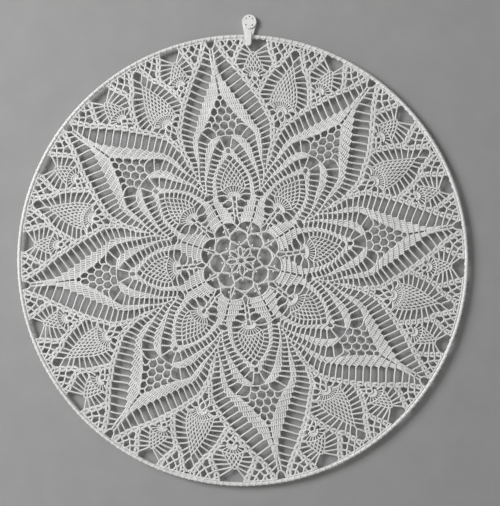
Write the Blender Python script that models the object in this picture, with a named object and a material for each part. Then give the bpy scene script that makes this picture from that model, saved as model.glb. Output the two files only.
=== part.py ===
"""A crochet lace doily stretched in a round metal hoop that hangs on a plastic wall hook with four pins.

Row frame: the wall's face is the plane y = 0, +Y goes into the wall and +Z is up.
The origin is the centre of the hook's flat back.
Lengths below are in millimetres; MM turns them into metres.
"""
import math

import bmesh
import bpy
from mathutils import Matrix

MM = 0.001

# Hoop
HOOP_RADIUS = 248.0        # centre line of the wire
WIRE_RADIUS = 2.0
HOOP_SEGMENTS = 180
WIRE_SEGMENTS = 16

# Hook
PLATE_THICK = 3.0
CLEAR = 0.3                # gap between neighbouring solids
HEAD_RADIUS = 7.9
HEAD_RAISE = 1.2           # the round head stands this proud of the plate
HOOK_DROP = 16.9           # from the head's centre down to the wire's centre line
FOOT_DEPTH = 24.8          # from the head's centre down to the plate's foot
FOOT_HALF = 3.3            # half width of the plate at its foot
SEAT_HALF = 2.2            # half width of the seat, where it passes through the lace
SEAT_DEPTH = 22.7          # from the head's centre down to the underside of the seat
TONGUE_DEPTH = 27.8        # from the head's centre down to the tongue's rounded end
TONGUE_HALF = 3.2
TONGUE_THICK = 2.6
TONGUE_TOP = 10.6
EDGE_ROUND = 0.35

# Pins
PIN_RADIUS = 0.6
PIN_HOLE_RADIUS = 0.9
PIN_OFFSET = 3.6
PIN_INTO_WALL = 7.0
SPARE_HOLE_RADIUS = 0.8
SPARE_HOLE_RISE = 5.6

# Doily
LACE_RADIUS = HOOP_RADIUS - WIRE_RADIUS - CLEAR
LACE_THICK = 2.0
RIM_STEP = 2.5             # degrees between points on the lace's edge
LEAVES = 8
LEAF_ZERO = 10.5           # direction of the first leaf's axis, degrees from +X towards +Z
INNER_R = 60.0
OUTER_R = 225.0

WIRE_Y = -(PLATE_THICK + CLEAR + WIRE_RADIUS)
HOOP_Z = -(HOOK_DROP + HOOP_RADIUS)

# The hand-stretched lace leans a little off its even spacing.
# Degrees at the eight leaves and the eight gaps between them, in turn, near the centre and at the rim.
LEAN_INNER = (0.0, 1.0, 0.7, -1.3, -2.6, -3.8, -3.6, -3.4, -1.6, -1.3, -0.1, -1.7, -2.1, -1.3, -1.1, -0.2)
LEAN_OUTER = (0.6, -0.8, 0.1, -0.9, -0.5, -1.7, -1.1, -1.5, -2.1, -2.2, -0.9, -0.5, 1.9, 3.5, 3.2, 1.8)

# The largest gaps of the net: (radius, degrees off the leaf axis, half along, half across, tilt of "along").
# "Along" is the direction away from the leaf axis; the tilt turns it outward.
ON_LEAF = (
    (27.6, 0.0, 7.4, 5.2, 0.0),      # round cells about the centre
    (132.2, 0.0, 5.0, 6.2, 0.0),     # round cell under each leaf
)
BETWEEN_LEAVES = (
    (232.0, 22.5, 3.4, 5.8, 0.0),    # above each large pineapple
)
BOTH_SIDES = (
    (40.6, 10.5, 4.6, 2.2, -4.0),    # thin cells between the star points
    (72.4, 9.5, 5.6, 2.2, 8.0),      # loops beside the inner fans
    (65.2, 7.0, 4.4, 2.0, 8.0),
    (146.3, 7.3, 6.6, 4.6, -30.0),   # large ovals at each leaf's shoulders
)
# The long slots up each leaf's outer side: (radius, degrees off the leaf axis, half length).
SLOTS = (
    (142.8, 18.7, 5.0),
    (148.4, 17.7, 5.4),
    (154.2, 16.4, 5.8),
    (159.1, 15.1, 6.0),
    (164.4, 13.7, 6.2),
    (170.4, 12.2, 6.4),
    (176.3, 10.9, 6.4),
    (182.3, 9.4, 6.4),
    (188.6, 7.9, 6.4),
    (194.9, 6.5, 6.2),
    (201.6, 5.1, 5.8),
    (208.4, 3.8, 5.2),
)
SLOT_HALF = 2.2
SLOT_TILT = 42.0
ROUND_POINTS = 12          # points round each round cell
OVAL_POINTS = 8            # points round each of the other ovals
# One side gap open to the rim: (degrees off the leaf axis, radius).
RIM_GAP = (
    (9.0, LACE_RADIUS),
    (9.2, 240.8),
    (10.1, 235.6),
    (11.2, 231.8),
    (12.2, 231.8),
    (13.2, 235.2),
    (13.9, 240.0),
    (14.2, LACE_RADIUS),
)


def smooth_between(a, b, t):
    return a + (b - a) * (0.5 - 0.5 * math.cos(math.pi * t))


def lean_at(table, even):
    """The lean, in degrees, of a direction given as even degrees from +X."""
    step = 360.0 / len(table)
    place = ((even - LEAF_ZERO) % 360.0) / step
    first = int(place) % len(table)
    return smooth_between(table[first], table[(first + 1) % len(table)], place - int(place))


def lace_point(r, even):
    """A point on the lace's plane, in millimetres from the hoop's centre."""
    share = min(1.0, max(0.0, (r - INNER_R) / (OUTER_R - INNER_R)))
    lean = lean_at(LEAN_INNER, even) * (1.0 - share) + lean_at(LEAN_OUTER, even) * share
    angle = math.radians(even + lean)
    return (r * math.cos(angle), r * math.sin(angle))


def oval(leaf, side, gap, count):
    """One gap of the net as a ring of points; side is 1 or -1, away from the leaf axis."""
    r, off, along, across, tilt = gap
    turn = math.radians(tilt)
    points = []
    for i in range(count):
        a = 2.0 * math.pi * i / count
        x = along * math.copysign(abs(math.cos(a)) ** 0.8, math.cos(a))
        y = across * math.copysign(abs(math.sin(a)) ** 0.8, math.sin(a))
        away = x * math.cos(turn) - y * math.sin(turn)
        out = x * math.sin(turn) + y * math.cos(turn)
        even = LEAF_ZERO + 45.0 * leaf + side * (off + math.degrees(away / r))
        points.append(lace_point(r + out, even))
    return points


def slot(leaf, side, row):
    """One long slot as six points, pointed at its ends."""
    r, off, half = row
    turn = math.radians(SLOT_TILT)
    shape = (
        (half, 0.0), (half * 0.72, SLOT_HALF), (-half * 0.72, SLOT_HALF),
        (-half, 0.0), (-half * 0.72, -SLOT_HALF), (half * 0.72, -SLOT_HALF),
    )
    points = []
    for x, y in shape:
        away = x * math.cos(turn) - y * math.sin(turn)
        out = x * math.sin(turn) + y * math.cos(turn)
        even = LEAF_ZERO + 45.0 * leaf + side * (off + math.degrees(away / r))
        points.append(lace_point(r + out, even))
    return points


def rim_outline():
    """The lace's edge with its sixteen open gaps, walked once round."""
    points = []
    first, last = RIM_GAP[0][0], RIM_GAP[-1][0]
    for leaf in range(LEAVES):
        axis = LEAF_ZERO + 45.0 * leaf
        points += [lace_point(r, axis - off) for off, r in reversed(RIM_GAP)]
        steps = round(2.0 * first / RIM_STEP)
        for i in range(1, steps):
            points.append(lace_point(LACE_RADIUS, axis - first + 2.0 * first * i / steps))
        points += [lace_point(r, axis + off) for off, r in RIM_GAP]
        span = 45.0 - 2.0 * last
        steps = round(span / RIM_STEP)
        for i in range(1, steps):
            points.append(lace_point(LACE_RADIUS, axis + last + span * i / steps))
    return points


def clear_file():
    for obj in list(bpy.data.objects):
        bpy.data.objects.remove(obj, do_unlink=True)


def collection(name):
    made = bpy.data.collections.new(name)
    bpy.context.scene.collection.children.link(made)
    return made


def material(name, colour, roughness, metallic=0.0):
    made = bpy.data.materials.new(name)
    made.use_nodes = True
    shader = made.node_tree.nodes["Principled BSDF"]
    shader.inputs["Base Color"].default_value = (*colour, 1.0)
    shader.inputs["Roughness"].default_value = roughness
    shader.inputs["Metallic"].default_value = metallic
    return made


def from_outlines(name, outlines, thick, place, home, rounding=0.0):
    """A flat solid from closed outlines in millimetres; place turns the flat curve into the row frame."""
    curve = bpy.data.curves.new(name, "CURVE")
    curve.dimensions = "2D"
    curve.fill_mode = "BOTH"
    curve.extrude = (thick / 2.0 - rounding) * MM
    curve.bevel_depth = rounding * MM
    curve.bevel_resolution = 2
    curve.offset = -rounding * MM
    for outline in outlines:
        spline = curve.splines.new("POLY")
        spline.points.add(len(outline) - 1)
        for point, (x, y) in zip(spline.points, outline):
            point.co = (x * MM, y * MM, 0.0, 1.0)
        spline.use_cyclic_u = True
    held = bpy.data.objects.new(name + " outline", curve)
    home.objects.link(held)
    bpy.context.view_layer.update()
    graph = bpy.context.evaluated_depsgraph_get()
    mesh = bpy.data.meshes.new_from_object(held.evaluated_get(graph))
    bpy.data.objects.remove(held, do_unlink=True)
    tidy(mesh)
    mesh.transform(place)
    made = bpy.data.objects.new(name, mesh)
    home.objects.link(made)
    return made


def tidy(mesh):
    work = bmesh.new()
    work.from_mesh(mesh)
    bmesh.ops.remove_doubles(work, verts=work.verts, dist=0.000002)
    bmesh.ops.recalc_face_normals(work, faces=work.faces)
    work.to_mesh(mesh)
    work.free()


def rod(name, radius, y_from, y_to, x, z, home, sides, tip=None):
    """A cylinder along Y, or a pointed one if tip gives its end radius."""
    work = bmesh.new()
    length = (y_to - y_from) * MM
    bmesh.ops.create_cone(
        work, cap_ends=True, segments=sides, depth=length,
        radius1=radius * MM, radius2=(radius if tip is None else tip) * MM,
    )
    turn = Matrix.Rotation(math.radians(-90.0), 4, "X")
    centre = Matrix.Translation((x * MM, (y_from + y_to) / 2.0 * MM, z * MM))
    bmesh.ops.transform(work, matrix=centre @ turn, verts=work.verts)
    mesh = bpy.data.meshes.new(name)
    work.to_mesh(mesh)
    work.free()
    made = bpy.data.objects.new(name, mesh)
    home.objects.link(made)
    return made


def combine(base, other, how):
    """Joins or cuts two meshes and keeps the result in base."""
    step = base.modifiers.new("step", "BOOLEAN")
    step.operation = how
    step.solver = "EXACT"
    step.object = other
    bpy.context.view_layer.update()
    graph = bpy.context.evaluated_depsgraph_get()
    mesh = bpy.data.meshes.new_from_object(base.evaluated_get(graph))
    base.modifiers.clear()
    old = base.data
    base.data = mesh
    bpy.data.meshes.remove(old)
    bpy.data.objects.remove(other, do_unlink=True)


def plate_outline():
    """The round head running down into a narrow foot, in X and Z."""
    lean = math.degrees(math.asin((HEAD_RADIUS - FOOT_HALF) / (FOOT_DEPTH - FOOT_HALF)))
    foot_z = -(FOOT_DEPTH - FOOT_HALF)
    points = []
    for i in range(33):
        a = math.radians(-lean + (180.0 + 2.0 * lean) * i / 32)
        points.append((HEAD_RADIUS * math.cos(a), HEAD_RADIUS * math.sin(a)))
    for i in range(17):
        a = math.radians(180.0 + lean + (180.0 - 2.0 * lean) * i / 16)
        points.append((FOOT_HALF * math.cos(a), foot_z + FOOT_HALF * math.sin(a)))
    return points


def seat_profile(front_y):
    """The seat that carries the wire, in Y and Z, from inside the plate to inside the tongue."""
    cradle = WIRE_RADIUS + CLEAR
    wire_z = -HOOK_DROP
    bottom = -SEAT_DEPTH
    points = [(-PLATE_THICK / 2.0, wire_z - 1.0), (-PLATE_THICK - 0.05, wire_z - 1.0)]
    for i in range(1, 11):
        a = math.radians(205.0 + 125.0 * i / 10)
        points.append((WIRE_Y - cradle * math.cos(a), wire_z + cradle * math.sin(a)))
    points += [
        (front_y, points[-1][1]), (front_y, bottom + 0.8), (front_y + 0.8, bottom),
        (-PLATE_THICK / 2.0, bottom),
    ]
    return points


def build_hook(home, work_home):
    flat = Matrix(((1, 0, 0, 0), (0, 0, -1, 0), (0, 1, 0, 0), (0, 0, 0, 1)))
    side = Matrix(((0, 0, 1, 0), (1, 0, 0, 0), (0, 1, 0, 0), (0, 0, 0, 1)))
    back = Matrix.Translation((0.0, -PLATE_THICK / 2.0 * MM, 0.0))
    hook = from_outlines("hook", [plate_outline()], PLATE_THICK, back @ flat, home, EDGE_ROUND)
    ring = [
        (HEAD_RADIUS * math.cos(2.0 * math.pi * i / 48), HEAD_RADIUS * math.sin(2.0 * math.pi * i / 48))
        for i in range(48)
    ]
    raised = Matrix.Translation((0.0, -(PLATE_THICK + HEAD_RAISE - 1.1) * MM, 0.0))
    head = from_outlines("head disc", [ring], 2.2, raised @ flat, work_home, EDGE_ROUND)
    combine(hook, head, "UNION")
    front_y = WIRE_Y - WIRE_RADIUS - CLEAR - TONGUE_THICK
    seat = from_outlines("seat", [seat_profile(front_y + 1.1)], 2.0 * SEAT_HALF, side, work_home)
    combine(hook, seat, "UNION")
    back_y = WIRE_Y - WIRE_RADIUS - CLEAR
    low = -TONGUE_DEPTH + TONGUE_HALF
    face = [(TONGUE_HALF, -TONGUE_TOP - 2.2), (TONGUE_HALF, low)]
    for i in range(1, 12):
        a = math.radians(-180.0 * i / 12)
        face.append((TONGUE_HALF * math.cos(a), low + TONGUE_HALF * math.sin(a)))
    face += [(-TONGUE_HALF, low), (-TONGUE_HALF, -TONGUE_TOP - 2.2)]
    for i in range(1, 8):
        a = math.radians(180.0 - 180.0 * i / 8)
        face.append((TONGUE_HALF * math.cos(a), -TONGUE_TOP - 2.2 + 2.2 * math.sin(a)))
    ahead = Matrix.Translation((0.0, (back_y + front_y) / 2.0 * MM, 0.0))
    tongue = from_outlines("tongue", [face], TONGUE_THICK, ahead @ flat, work_home, 0.6)
    combine(hook, tongue, "UNION")
    cutters = bmesh.new()
    for name, x, z, radius in hook_holes():
        cutter = rod("cutter " + name, radius, -8.0, 4.0, x, z, work_home, 20)
        cutters.from_mesh(cutter.data)
        bpy.data.objects.remove(cutter, do_unlink=True)
    mesh = bpy.data.meshes.new("holes")
    cutters.to_mesh(mesh)
    cutters.free()
    holes = bpy.data.objects.new("holes", mesh)
    work_home.objects.link(holes)
    combine(hook, holes, "DIFFERENCE")
    return hook


def hook_holes():
    holes = [("spare", 0.0, SPARE_HOLE_RISE, SPARE_HOLE_RADIUS)]
    for number, (sx, sz) in enumerate(((-1, 1), (1, 1), (-1, -1), (1, -1)), 1):
        holes.append(("pin_%d" % number, sx * PIN_OFFSET, sz * PIN_OFFSET, PIN_HOLE_RADIUS))
    return holes


def build_pin(name, x, z, home, work_home):
    front = -(PLATE_THICK + HEAD_RAISE) + 0.1
    neck = PIN_INTO_WALL - 2.0
    pin = rod(name, PIN_RADIUS, front, neck, x, z, home, 16)
    tip = rod("tip", PIN_RADIUS * 0.999, neck - 0.4, PIN_INTO_WALL, x, z, work_home, 16, 0.15)
    combine(pin, tip, "UNION")
    return pin


def build_hoop(home):
    bpy.ops.mesh.primitive_torus_add(
        major_segments=HOOP_SEGMENTS, minor_segments=WIRE_SEGMENTS,
        major_radius=HOOP_RADIUS * MM, minor_radius=WIRE_RADIUS * MM,
    )
    hoop = bpy.context.object
    hoop.name = "hoop"
    upright = Matrix.Rotation(math.radians(90.0), 4, "X")
    hoop.data.transform(Matrix.Translation((0.0, WIRE_Y * MM, HOOP_Z * MM)) @ upright)
    for owner in list(hoop.users_collection):
        owner.objects.unlink(hoop)
    home.objects.link(hoop)
    return hoop


def build_doily(home):
    outlines = [rim_outline()]
    for leaf in range(LEAVES):
        outlines += [oval(leaf, 1, gap, ROUND_POINTS) for gap in ON_LEAF]
        outlines += [oval(leaf, 1, gap, OVAL_POINTS) for gap in BETWEEN_LEAVES]
        for side in (1, -1):
            outlines += [oval(leaf, side, gap, OVAL_POINTS) for gap in BOTH_SIDES]
            outlines += [slot(leaf, side, row) for row in SLOTS]
    flat = Matrix(((1, 0, 0, 0), (0, 0, -1, 0), (0, 1, 0, 0), (0, 0, 0, 1)))
    place = Matrix.Translation((0.0, WIRE_Y * MM, HOOP_Z * MM)) @ flat
    return from_outlines("doily", outlines, LACE_THICK, place, home)


def finish(obj, paint):
    obj.data.materials.clear()
    obj.data.materials.append(paint)
    for face in obj.data.polygons:
        face.material_index = 0


def main():
    clear_file()
    home = collection("crochet mandala doily in a hoop on a wall hook")
    work_home = collection("work")
    cotton = material("cotton", (0.86, 0.86, 0.84), 0.9)
    paint = material("white paint", (0.84, 0.84, 0.83), 0.4)
    plastic = material("white plastic", (0.88, 0.88, 0.86), 0.4)
    steel = material("pin steel", (0.35, 0.35, 0.36), 0.35, 1.0)
    finish(build_doily(home), cotton)
    finish(build_hoop(home), paint)
    finish(build_hook(home, work_home), plastic)
    for name, x, z, radius in hook_holes()[1:]:
        finish(build_pin(name, x, z, home, work_home), steel)


main()
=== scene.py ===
"""The looks of a crochet lace doily laced into a metal hoop that hangs on a pinned wall hook.

Every stitch of the lace is a closed tube of thread. Half of one leaf of the pattern is charted in degrees off
the leaf's axis and millimetres from the hoop's centre, then mirrored and turned round the hoop.
"""
import math

import bpy
import numpy as np
from mathutils import Matrix, Vector


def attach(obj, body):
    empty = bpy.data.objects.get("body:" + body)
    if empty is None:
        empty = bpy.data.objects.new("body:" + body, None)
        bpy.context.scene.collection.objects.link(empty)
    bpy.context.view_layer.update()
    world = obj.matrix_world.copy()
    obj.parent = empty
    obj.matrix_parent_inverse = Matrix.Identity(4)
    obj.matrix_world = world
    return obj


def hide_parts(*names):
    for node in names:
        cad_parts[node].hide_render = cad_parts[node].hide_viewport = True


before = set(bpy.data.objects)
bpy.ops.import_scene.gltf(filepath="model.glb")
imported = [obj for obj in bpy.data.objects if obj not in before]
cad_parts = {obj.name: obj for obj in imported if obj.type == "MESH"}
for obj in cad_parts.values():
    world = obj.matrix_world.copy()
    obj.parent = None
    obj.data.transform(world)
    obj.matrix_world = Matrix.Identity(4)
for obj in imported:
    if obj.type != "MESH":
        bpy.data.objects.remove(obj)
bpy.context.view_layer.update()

MM = 0.001
HOOP_RADIUS = 248.0        # from the hoop's centre to the middle of its wire
WIRE_RADIUS = 2.0
WIRE_Y = -5.3              # the wire's and the cloth's middle plane
HOOP_Z = -264.9            # height of the hoop's centre, the middle of the hook's head being at 0
RIM_R = 246.2              # where the lace's last loops reach the wire
LEAVES = 8
LEAF_ZERO = 10.5           # degrees from +X to the axis of leaf 1
HALF = 22.5                # degrees from a leaf's axis to the middle of the gap beside it
ON_AXIS = 1e-6             # anything nearer to an axis than this lies on it

# How far the hand-stretched lace leans off even spacing, in degrees, at the leaves and gaps in turn. The
# first table holds inside INNER_R and the second outside OUTER_R.
INNER_R, OUTER_R = 60.0, 225.0
LEAN_INNER = (0.0, 1.0, 0.7, -1.3, -2.6, -3.8, -3.6, -3.4, -1.6, -1.3, -0.1, -1.7, -2.1, -1.3, -1.1, -0.2)
LEAN_OUTER = (0.6, -0.8, 0.1, -0.9, -0.5, -1.7, -1.1, -1.5, -2.1, -2.2, -0.9, -0.5, 1.9, 3.5, 3.2, 1.8)
RIM_CALM = 12.0            # the small unevenness of hand work dies away over this width beside the rim
CENTRE_CALM = 20.0         # and shrinks inside this radius,
LEAST_WAVER = 0.2          # to no less than this share of it
WAVER_END = 0.4            # how far outside RIM_R nothing of it is left

# Thread and stitches, in millimetres
THICKNESS = (0.94, 1.06)   # the least and most of a strand's charted thickness that it may have
CHAIN_R = 1.02             # half the width of a chain
POST_R = 1.2               # half the width of a double crochet's post
LINK = 2.3                 # length of one chain stitch
DC_STEP = 2.3              # from one double crochet to the next
COVER_STEP = 1.35          # from one single crochet to the next on a covered arch
MOUTH = 2.3                # from the middle of a shell's top to where a chain joins its side
LOOP_HEIGHT = 0.1          # how far a net's loops stand out of the cloth's middle plane
HEAD_HEIGHT = 0.35         # how far the heads along the top of a row stand out of it
BAND_UPRIGHT = 0.7         # how upright the posts of the bands stand: see row()
SKEW_FROM = 210.6          # a slanted net's axis is charted at this radius

# How a stitch swells and draws in, as shares of the thread's half width
CHAIN_SHAPE = (1.12, 0.80)
LOOP_SHAPE = (1.12, 0.82)
HEAD_SHAPE = (1.14, 0.82)
KNOT_SHAPE = (1.08, 0.94)
MOUTH_SHAPE = (1.12, 0.85)

# Tubes of thread
SPLINE_STEPS = 8           # steps from one given point of a path to the next, before they are evened out
SIDES = 5
TIP = 0.55                 # how far a tube's tip stands out, as a share of its radius
TIP_RUN = 0.3              # and in millimetres along the thread, for its UVs
AHEAD = (0.0, -1.0, 0.0)   # out of the cloth, towards the viewer

# The lashing, in millimetres
TURNS = 214
TURN_POINTS = 12
LASH_R = 0.42              # half the thread's width
LASH_TIP = 0.5             # like TIP
LASH_REACH = 0.26          # from the wire's surface to the thread's middle, where it is pressed flat
LASH_UNEVEN = 0.06         # how much that varies along the thread
LASH_WAVES = 311.0         # and how often, in radians from end to end
LASH_SNAP = 0.5            # how much quicker a turn passes the outside of the hoop than its inside
HOOK_GAP = 1.25            # degrees with no thread on either side of the hook's middle

rng = np.random.default_rng(11)


# ---- The chart: plain geometry in the flat, (degrees off the leaf axis, millimetres from the centre) ----

half = []                  # strands drawn on both sides of each leaf axis
whole = []                 # strands that lie across an axis, drawn once


def flat(spot):
    """A charted (degrees, radius) as x and y in the flat, with the leaf's axis along y."""
    u, r = spot
    a = math.radians(u)
    return np.array((r * math.sin(a), r * math.cos(a)))


def at(x, y):
    """The charted spot at millimetres across the leaf's axis and outward."""
    return (math.degrees(math.atan2(x, y)), math.hypot(x, y))


def off(spot_u, x, y):
    """The charted spot at millimetres across and outward from an axis that stands at spot_u degrees."""
    return (spot_u + math.degrees(math.atan2(x, y)), math.hypot(x, y))


def between(a, b, t):
    """A charted spot part of the way from a to b."""
    return (a[0] + (b[0] - a[0]) * t, a[1] + (b[1] - a[1]) * t)


def moved(spot, x, y):
    """A charted spot shifted by millimetres across (x) and outward (y)."""
    return (spot[0] + math.degrees(x / spot[1]), spot[1] + y)


def strand(out, points, radii, height, flatness=1.0):
    """A tube along points, its radii given across the cloth; flatness scales them through its thickness."""
    points = np.asarray(points, float)
    height = np.broadcast_to(np.asarray(height, float), (len(points),))
    out.append((np.column_stack((points, height)), np.asarray(radii, float), flatness))


def beads(count, r, shape):
    """The radii of a run of stitches that draw in and swell in turn, starting and ending drawn in."""
    swell, waist = shape
    return np.where(np.arange(count) % 2 == 1, r * swell, r * waist)


def smooth_path(points, count):
    """Evenly spaced points on a smooth curve through a few."""
    p = np.asarray(points, float)
    ext = np.vstack((2 * p[0] - p[1], p, 2 * p[-1] - p[-2]))
    fine = []
    for i in range(len(p) - 1):
        a, b, c, d = ext[i:i + 4]
        for t in np.arange(SPLINE_STEPS) / SPLINE_STEPS:
            fine.append(0.5 * (2 * b + (c - a) * t + (2 * a - 5 * b + 4 * c - d) * t * t
                               + (3 * b - a - 3 * c + d) * t * t * t))
    fine.append(p[-1])
    fine = np.asarray(fine)
    run = np.concatenate(([0.0], np.cumsum(np.linalg.norm(np.diff(fine, axis=0), axis=1))))
    spaced = np.linspace(0.0, run[-1], count)
    return np.column_stack([np.interp(spaced, run, fine[:, k]) for k in range(fine.shape[1])])


def length_of(points):
    """The length of a line through points."""
    return float(np.linalg.norm(np.diff(np.asarray(points, float), axis=0), axis=1).sum())


def width_of(a, b):
    """The distance between two charted spots."""
    return float(np.linalg.norm(flat(a) - flat(b)))


def unit(vectors):
    """Vectors scaled to a length of one."""
    return vectors / np.linalg.norm(vectors, axis=-1, keepdims=True)


def chain(out, spots, height=0.0, r=CHAIN_R, link=LINK):
    """A run of chain stitches through charted spots: waists and swells, one swell to each stitch."""
    line = [flat(s) for s in spots]
    count = 2 * max(1, round(length_of(line) / link)) + 1
    strand(out, smooth_path(line, count), beads(count, r, CHAIN_SHAPE), height)


def loop(out, a, top, b, r, square=0.6):
    """A chain loop from a over top to b; square is how far its shoulders stand out."""
    fa, ft, fb = flat(a), flat(top), flat(b)
    bulge = (ft - (fa + fb) / 2.0) * square * 0.35
    line = [fa, fa + (ft - fa) * 0.5 + bulge, ft, fb + (ft - fb) * 0.5 + bulge, fb]
    count = 2 * max(2, round(length_of(line) / LINK)) + 1
    strand(out, smooth_path(line, count), beads(count, r, LOOP_SHAPE), LOOP_HEIGHT)


def post(out, a, b, r, low=-0.2, high=0.25, flatness=0.7):
    """The post of one stitch from its foot to its head, with the wrap of thread round its middle."""
    fa, fb = flat(a), flat(b)
    share = np.array((0.0, 0.28, 0.55, 0.8, 1.0))
    path = fa + (fb - fa) * share[:, None]
    strand(out, path, r * np.array((1.0, 0.84, 1.04, 0.98, 1.04)), low + (high - low) * share, flatness)


def heads(out, a, b, count):
    """The row of stitch heads from a to b."""
    n = 2 * count + 1
    spots = [flat(between(a, b, t)) for t in np.linspace(0.0, 1.0, n)]
    strand(out, spots, beads(n, 1.0, HEAD_SHAPE), HEAD_HEIGHT, 0.75)


def row(out, foot_a, foot_b, top_a, top_b, count, r=POST_R, upright=0.0):
    """A row of double crochet, its feet from foot_a to foot_b and its heads from top_a to top_b.

    Upright says how far each post stands straight out from the centre, not in step with its row's ends.
    """
    foot_inset = min(0.5, r / width_of(foot_a, foot_b))
    top_inset = min(0.5, r / width_of(top_a, top_b))
    for i in range(count):
        t = i / (count - 1) if count > 1 else 0.5
        top = between(top_a, top_b, top_inset + (1.0 - 2.0 * top_inset) * t)
        low = foot_inset + (1.0 - 2.0 * foot_inset) * t
        if upright:
            straight = (top[0] - foot_a[0]) / (foot_b[0] - foot_a[0])
            low += (min(1.0 - foot_inset, max(foot_inset, straight)) - low) * upright
        post(out, between(foot_a, foot_b, low), top, r)
    heads(out, top_a, top_b, count)


def band(lines):
    """Rows of double crochet, each line (inner spot, outer spot) being the top of a row."""
    for low, high in zip(lines, lines[1:]):
        wide = (width_of(*low) + width_of(*high)) / 2.0
        count = max(1, round((wide - 2.0 * POST_R) / DC_STEP) + 1)
        row(half, *low, *high, count, upright=BAND_UPRIGHT)


def covered(out, spots):
    """An arch of chain worked over with single crochets: short stitches side by side across a core."""
    line = [flat(s) for s in spots]
    count = 2 * max(3, round(length_of(line) / COVER_STEP)) + 1
    path = smooth_path(line, count)
    along = unit(np.gradient(path, axis=0))
    across = np.column_stack((along[:, 1], -along[:, 0]))
    strand(out, path, np.full(count, 0.75), 0.0)
    for i in range(1, count, 2):
        ends = np.linspace(-1.0, 1.0, 4)[:, None] * across[i] + along[i] * 0.25
        strand(out, path[i] + ends, 0.78 * np.array((0.9, 1.0, 1.0, 1.1)), (0.1, 0.4, 0.45, 0.25), 0.8)


def picot(out, u, r, size=1.0):
    """A tight knot of three chains that stands up from an arch."""
    points = 9
    turn = np.linspace(0.0, 2.0 * math.pi, points)
    ring = flat((u, r)) + 0.4 * size * np.column_stack((np.cos(turn), np.sin(turn)))
    strand(out, ring, beads(points, 0.92 * size, KNOT_SHAPE), 0.4)


def shell(out, foot, top, spread):
    """Two double crochets, a chain and two more worked into one space: a V with a slit up its middle."""
    start, end = flat(foot), flat(top)
    along = unit(end - start)
    cross = np.array((along[1], -along[0]))
    share = np.array((0.0, 0.3, 0.62, 1.0))
    for side in (-1, 1):
        for offsets, r, lift in (((0.3, 0.5, 1.25, 1.3), 0.74, 0.15), ((1.1, 1.7, 2.3, spread), 0.98, 0.0)):
            line = start + (end - start) * share[:, None] + cross * side * np.array(offsets)[:, None]
            strand(out, line, r * np.array((0.95, 0.95, 1.08, 1.0)), -0.2 + 0.45 * share + lift, 0.8)
    points = 7
    line = end + cross * np.linspace(-spread - 0.2, spread + 0.2, points)[:, None]
    strand(out, line, beads(points, 0.92, MOUTH_SHAPE), HEAD_HEIGHT)


def corner(top, towards):
    """The spot at the side of a shell's mouth that faces another spot."""
    middle = flat(top)
    return at(*(middle + unit(flat(towards) - middle) * MOUTH))


def mirrored(level):
    """A level's anchors on the far side of its axis, then those given."""
    return [(-u, r) for u, r in reversed(level) if u > ON_AXIS] + list(level)


def net(axis_u, levels, r, side_only=False, skew=0.0):
    """Loops from each level of anchors to the next. A level lists (degrees off axis_u, radius), axis first.

    A net on the leaf's axis or in the middle of the gap is drawn on one side, as the other is its mirror
    image. One that lies wholly on one side (side_only) is drawn whole. Skew slants its axis, in degrees to
    each millimetre outward.
    """
    def spot(anchor):
        """The charted spot of an anchor."""
        u, radius = anchor
        return (axis_u + u + skew * (radius - SKEW_FROM), radius)

    for low, high in zip(levels, levels[1:]):
        feet = mirrored(low)
        for i, top in enumerate(mirrored(high)):
            beyond = -top[0] if axis_u == 0.0 else top[0]
            if beyond > ON_AXIS and not side_only:
                continue
            out = whole if abs(top[0]) < ON_AXIS and not side_only else half
            loop(out, spot(feet[i]), spot(top), spot(feet[i + 1]), r)


def levels_of(rows):
    """Anchors from rows of (number of anchors, half width in mm, radius on the axis, radius at the edge)."""
    made = []
    for count, wide, r_axis, r_edge in rows:
        anchors = []
        for i in range(count):
            x = wide * (2.0 * i / (count - 1) - 1.0) if count > 1 else 0.0
            if x < -ON_AXIS:
                continue
            share = (x / wide) ** 2 if wide else 0.0
            r = r_axis + (r_edge - r_axis) * share
            anchors.append((math.degrees(x / r), r))
        made.append(anchors)
    return made


def dished(middle, rise, reach, t):
    """A radius that is middle at angle 0 and has grown by rise at the angle reach."""
    return middle + rise * (t / reach) ** 2


# -- The centre --

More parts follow.
